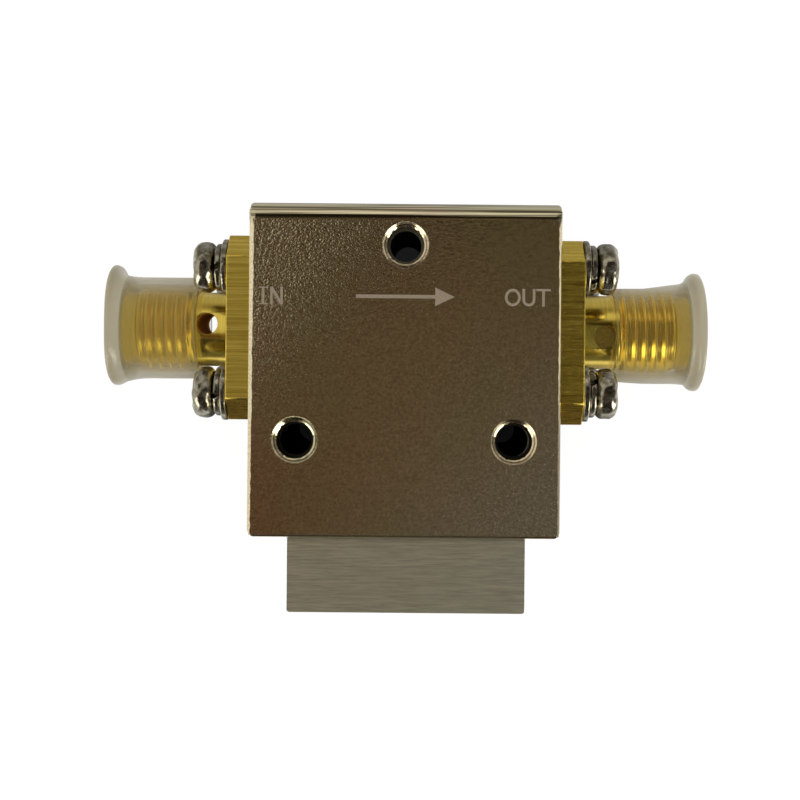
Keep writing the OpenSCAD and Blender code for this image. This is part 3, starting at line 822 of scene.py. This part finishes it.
def mould_cap(side, way, facets, material):
    """Rings of points run up the outside, over the brim and closed end, and down the inside."""
    stations = CAP_STATIONS[side]
    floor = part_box(f"{side}_cap")[1 if way > 0 else 0].x * way - END_WALL
    rings = [(x * MM, r * MM, slip * MM) for x, r, _, slip in stations]
    rings += [(CAP_TIP * MM, r * MM, stations[-1][3] * MM) for r in END_RADII]
    rings += [(floor, r * MM, 0.0) for r in FLOOR_RADII]
    rings += [(x * MM, r * MM, slip * MM) for x, _, r, slip in reversed(stations) if x * MM < floor - 0.1 * MM]
    bm = bmesh.new()
    loops = []
    for x, r, slip in rings:
        loop = []
        for i in range(facets):
            turn = math.tau * i / facets
            # A soft uneven round, and a brim that is slightly square
            wave = 1 + 0.004 * math.sin(2 * turn + 300 * x) + 0.003 * math.sin(3 * turn + 1.3)
            brim = CAP_SQUARE[side] * max(min((r / MM - 3.75) / 0.6, 1), 0)
            wave += brim * (0.09 * math.sin(2 * turn) ** 2 - 0.073 * math.sin(turn) ** 2)
            y, z = r * wave * math.cos(turn), r * wave * math.sin(turn)
            loop.append(bm.verts.new((x * way, PORT_Y + y - slip, PORT_Z + z)))
        loops.append(loop)
    end = len(stations) + len(END_RADII)
    for row in (loops[:end], [*loops[end:], loops[0]]):
        for a, b in zip(row, row[1:]):
            for i in range(facets):
                j = (i + 1) % facets
                bm.faces.new((a[i], a[j], b[j], b[i]))
    for loop in loops[end - 1 : end + 1]:
        bm.faces.new(loop)
    bmesh.ops.recalc_face_normals(bm, faces=bm.faces)
    finish_piece(f"{side}_soft_cap", bm, material, 50, f"{side}_cap")


class ISOLATOR_OT_marks(Operator):
    """Marks the ports and the direction of flow on the front, as a laser does"""

    bl_idname = "isolator.marks"
    bl_label = "Port marks"

    def execute(self, context):
        look = context.scene.isolator_marks
        # The laser burns the plating brown and dull
        bare = speckled("laser_mark", "#8a7c69", "#a1937e", 0.12 * MM, Roughness=0.55)
        h = look.height / 2 / MM
        marks = {
            "mark_in": [letter_i(-9.8, -9.25, h), letter_n(-9.04, -8.2, h)],
            "mark_out": [*letter_o(6.66, 7.72, h), letter_u(7.83, 8.70, h), letter_t(8.76, 9.72, h)],
            "flow_arrow": [arrow(3.3)],
        }
        for name, shapes in marks.items():
            lay_mark(name, shapes, look.line, bare)
        return {"FINISHED"}


# The marks' shapes lie about their middle line, in millimetres. A letter has a left, a right and half a height.
STROKE = 0.18


def letter_i(left, right, h):
    """The I, with a short bar at its top and its foot."""
    s, c, bar = STROKE / 2, (left + right) / 2, 0.07
    return [(left, -h), (right, -h), (right, bar - h), (c + s, bar - h), (c + s, h - bar), (right, h - bar),
            (right, h), (left, h), (left, h - bar), (c - s, h - bar), (c - s, bar - h), (left, bar - h)]


def letter_n(left, right, h):
    s, drop = STROKE * 0.9, 0.34
    return [(left, -h), (left + s, -h), (left + s, h - drop), (right - s, -h), (right, -h), (right, h),
            (right - s, h), (right - s, drop - h), (left + s, h), (left, h)]


def letter_t(left, right, h):
    s, c = STROKE / 2, (left + right) / 2
    bar = h - 1.6 * s
    return [(c - s, -h), (c + s, -h), (c + s, bar), (right, bar), (right, h), (left, h), (left, bar), (c - s, bar)]


def letter_u(left, right, h):
    c, r = (left + right) / 2, (right - left) / 2
    turns = [math.pi + math.pi * i / 16 for i in range(17)]
    bowl = [(c + r * math.cos(t), r - h + r * math.sin(t)) for t in turns]
    inner = [(c + (r - STROKE) * math.cos(t), r - h + (r - STROKE) * math.sin(t)) for t in reversed(turns)]
    return [(left, h), *bowl, (right, h), (right - STROKE, h), *inner, (left + STROKE, h)]


def letter_o(left, right, h):
    """The O, as a closed row of short flats."""
    c, rx = (left + right) / 2, (right - left) / 2
    turns = [math.tau * i / 40 for i in range(41)]
    outer = [(c + rx * math.cos(t), h * math.sin(t)) for t in turns]
    inner = [(c + (rx - STROKE) * math.cos(t), (h - STROKE) * math.sin(t)) for t in turns]
    return [[outer[i], outer[i + 1], inner[i + 1], inner[i]] for i in range(40)]


def arrow(half):
    """A plain arrow from the input to the output."""
    head, tail, wing = 1.3, 0.12, 0.62
    return [(-half, -tail), (half - head, -tail), (half - head, -wing), (half, 0), (half - head, wing),
            (half - head, tail), (-half, tail)]


def lay_mark(name, shapes, line, material):
    """Lays flat shapes on the front face, about the marks' middle line, as one thin film."""
    film = 0.003 * MM
    bm = bmesh.new()
    for shape in shapes:
        bm.faces.new([bm.verts.new((x * MM, (line / MM + y) * MM, FRONT + film)) for x, y in shape])
    bmesh.ops.remove_doubles(bm, verts=bm.verts, dist=0.001 * MM)
    top = bmesh.ops.extrude_face_region(bm, geom=bm.faces[:])["geom"]
    bmesh.ops.translate(bm, verts=[g for g in top if isinstance(g, bmesh.types.BMVert)], vec=(0, 0, film))
    bmesh.ops.recalc_face_normals(bm, faces=bm.faces)
    mark = show(name, make_mesh(name, bm, material))
    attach(mark, "root")


# ---------------- stage


class ISOLATOR_OT_stage(Operator):
    """Sets the table, the light and the camera"""

    bl_idname = "isolator.stage"
    bl_label = "Stage"

    def execute(self, context):
        scene, look = context.scene, context.scene.isolator_stage
        scene.view_settings.view_transform = "Standard"
        lay_table()
        light_room(scene, look)
        place_camera(scene, look)
        return {"FINISHED"}


def aside(put, x, y):
    """How far to the side of a way out from the object a point lies, for each length along it."""
    return put("DIVIDE", put("ABSOLUTE", x), put("MAXIMUM", y, 0.0005))


def lay_table():
    """A white table. It stays white to the camera and through the caps, and keeps a faint shadow. Metal mirrors
    it with painted shade: less white behind the object, dark close to it, and dark in front of the gap between the
    windows. The body lies flat on it, and under it the table is painted dark as a painted shadow, so the holes look
    dark."""
    bm = bmesh.new()
    bmesh.ops.create_circle(bm, cap_ends=True, segments=64, radius=0.9)
    material, put, place = start_material("white_card")
    spot = put("SeparateXYZ", place, out="all")
    soft = "MapRange.SMOOTHSTEP"

    # How white the metal sees it, with painted shade: darker near the body, behind it and in front of the gap
    wide = put("ABSOLUTE", spot["X"])
    deep = put("ABSOLUTE", put("SUBTRACT", spot["Y"], 0.25 * MM))
    past = [put("MAXIMUM", put("SUBTRACT", wide, YOKE_HIGH.x), 0.0),
            put("MAXIMUM", put("SUBTRACT", deep, 11.25 * MM), 0.0)]
    near = put("SQRT", put("ADD", *[put("MULTIPLY", p, p) for p in past]))
    behind = together(put, put(soft, aside(put, spot["X"], spot["Y"]), 0.8, 1.6, 1.0, 0.0),
                      put(soft, spot["Y"], 12 * MM, 22 * MM))
    front = put("MULTIPLY", spot["Y"], -1.0)
    gap = together(put, put(soft, aside(put, spot["X"], front), 0.42, 0.6, 1.0, 0.0),
                   put(soft, front, 0.035, 0.055))
    glow = together(put, put(soft, near, 2 * MM, 12 * MM, 0.12, 1.0), put(soft, behind, 0.0, 1.0, 1.0, 0.45),
                    put(soft, gap, 0.0, 1.0, 1.0, 0.1))

    # Under the body it is painted dark, as a painted shadow
    middle = put("ABSOLUTE", put("SUBTRACT", spot["Y"], 2 * MM))
    under_body_shadow = together(put, put("LESS_THAN", wide, 9.3 * MM), put("LESS_THAN", middle, 8.8 * MM))
    under = together(put, under_body_shadow, put(soft, spot["Y"], 0.0, 4 * MM, 0.996, 0.99))

    path = put("LightPath", out="all")
    seen = together(put, put("MAXIMUM", path["Is Camera Ray"], path["Is Transmission Ray"]), 0.85)
    share = together(put, put("MAXIMUM", seen, path["Is Glossy Ray"]), put("SUBTRACT", 1.0, under))
    card = put("BsdfDiffuse", Color=put("Mix.RGBA", under_body_shadow, "#f8f8f6", (0.002, 0.002, 0.002, 1.0)))
    white = put("Emission", Color=WHITE, Strength=put("Mix", path["Is Glossy Ray"], 1.1, glow))
    put("OutputMaterial", Surface=put("MixShader", share, card, white))
    table = show("table", make_mesh("table", bm, material))


def light_room(scene, look):
    """Even light from all round for matt surfaces. Metal mirrors a plain room: a white table to the horizon, a
    light ceiling towards the input side and the back, the dark camera overhead, and two windows beyond the foot
    with a dark gap between them."""
    world = bpy.data.worlds.new("room")
    scene.world = world
    world.use_nodes = True
    world.cycles.sampling_method = "NONE"
    world.node_tree.nodes.clear()
    put = partial(add, world.node_tree)
    soft, blend = "MapRange.SMOOTHSTEP", "Mix.RGBA"
    way = put("SeparateXYZ", put("TexCoord", out="Generated"), out="all")
    x, y, z = way["X"], way["Y"], way["Z"]
    up = put("MAXIMUM", z, 0.02)
    across, back = put("DIVIDE", x, up), put("DIVIDE", y, up)

    # Where the camera, the gap between the windows, and the windows are
    slant = put("MULTIPLY", put("MINIMUM", back, 0.3), 0.6)
    camera = together(put, put(soft, put("SUBTRACT", across, slant), -0.5, -0.37),
                      put(soft, across, 1.2, 2.2, 1.0, 0.0), put(soft, back, 0.62, 0.95, 1.0, 0.0))
    front = aside(put, x, put("MULTIPLY", y, -1.0))
    gap = together(put, put(soft, front, 0.42, 0.6, 1.0, 0.0), put(soft, y, -0.08, 0.0, 1.0, 0.0))
    window = together(put, put(soft, front, 0.5, 0.7), put(soft, front, 1.8, 2.6, 1.0, 0.0),
                      put(soft, z, 0.02, 0.08), put(soft, z, 0.5, 0.64, 1.0, 0.0), put(soft, y, -0.1, 0.0, 1.0, 0.0))

    # The ceiling, darker behind
    light_side = put("ADD", put("MULTIPLY", x, -0.55), put("MULTIPLY", y, 0.75))
    ceiling = put(blend, put(soft, light_side, -0.5, 0.5), "#6e6558", "#e2dfd8")
    behind = put(soft, aside(put, x, y), 0.8, 1.6, 1.0, 0.0)
    ceiling = put(blend, together(put, behind, put(soft, z, 0.36, 0.52, 1.0, 0.0)), ceiling, "#94908a")

    # The camera's underside, brown to grey, which the flat front mirrors
    over = "#5c4232"
    for spot, low, high, colour in (
            (across, -0.12, 0.05, "#625b4e"), (back, -0.12, 0.02, "#5a4f3f"), (back, 0.115, 0.17, "#2c2318"),
            (put("SUBTRACT", across, back), 0.11, 0.25, "#656767")):
        over = put(blend, put(soft, spot, low, high), over, colour)
    room = put(blend, put("MAXIMUM", camera, gap), ceiling, over)

    # The darkest part of the gap, the horizon and the windows' panes
    darkest = together(put, gap, put(soft, z, 0.12, 0.25), put(soft, z, 0.8, 0.92, 1.0, 0.0))
    room = put(blend, darkest, room, "#33291f")
    horizon = put(blend, behind, WHITE, "#aeaba6")
    for low, high in ((0.04, 0.2), (0.0, 0.02)):
        share = together(put, put(soft, z, low, high, 1.0, 0.0), put("SUBTRACT", 1.0, gap))
        room = put(blend, share, room, horizon)
    panes = [(*[bright * c for c in (1, 1, 0.93)], 1.0) for bright in look.window]
    room = put(blend, window, room, put(blend, put(soft, x, -0.1, 0.1), *panes))

    mirrored = put("Background", Color=room, Strength=1.0)
    even = put("Background", Color="#fffcf6", Strength=look.level)
    path = put("LightPath", out="all")
    inside = put("MixShader", path["Is Glossy Ray"], even, mirrored)
    rays = put("MAXIMUM", path["Is Camera Ray"], path["Is Transmission Ray"])
    put("OutputWorld", Surface=put("MixShader", rays, inside, put("Background", Color=WHITE, Strength=1.0)))


def place_camera(scene, look):
    """Straight down on the marked front, a little turned, with the lens shifted as the photo shows."""
    camera = bpy.data.cameras.new("camera")
    camera.lens, camera.sensor_width = 55.51, 36.0
    camera.shift_x, camera.shift_y = -0.0285, -0.0601
    camera.clip_start, camera.clip_end = 0.005, 10.0
    holder = show("camera", camera)
    holder.location = (1.2 * MM, 1.48 * MM, look.camera_height)
    holder.rotation_euler = (0, 0, look.roll)
    scene.camera = holder


# ---------------- add-on

SETTINGS = {
    "isolator_yoke": ISOLATOR_PG_yoke,
    "isolator_connector": ISOLATOR_PG_connector,
    "isolator_fasteners": ISOLATOR_PG_fasteners,
    "isolator_cap": ISOLATOR_PG_cap,
    "isolator_marks": ISOLATOR_PG_marks,
    "isolator_stage": ISOLATOR_PG_stage,
}
OPERATORS = (
    ISOLATOR_OT_yoke, ISOLATOR_OT_housing, ISOLATOR_OT_junction, ISOLATOR_OT_connectors, ISOLATOR_OT_fasteners,
    ISOLATOR_OT_caps, ISOLATOR_OT_marks, ISOLATOR_OT_stage,
)


class ISOLATOR_PT_panel(Panel):
    bl_idname = "ISOLATOR_PT_panel"
    bl_label = "Coaxial isolator"
    bl_space_type = "VIEW_3D"
    bl_region_type = "UI"
    bl_category = "Isolator"

    def draw(self, context):
        for name, group in SETTINGS.items():
            box = self.layout.box()
            for prop in group.__annotations__:
                box.prop(getattr(context.scene, name), prop)
        for operator in OPERATORS:
            self.layout.operator(operator.bl_idname)


CLASSES = (*SETTINGS.values(), *OPERATORS, ISOLATOR_PT_panel)


def register():
    for cls in CLASSES:
        bpy.utils.register_class(cls)
    for name, group in SETTINGS.items():
        setattr(bpy.types.Scene, name, PointerProperty(type=group))


def unregister():
    for name in SETTINGS:
        delattr(bpy.types.Scene, name)
    for cls in reversed(CLASSES):
        bpy.utils.unregister_class(cls)


def main():
    register()
    for operator in OPERATORS:
        group, name = operator.bl_idname.split(".")
        getattr(getattr(bpy.ops, group), name)()


if __name__ == "__main__":
    main()
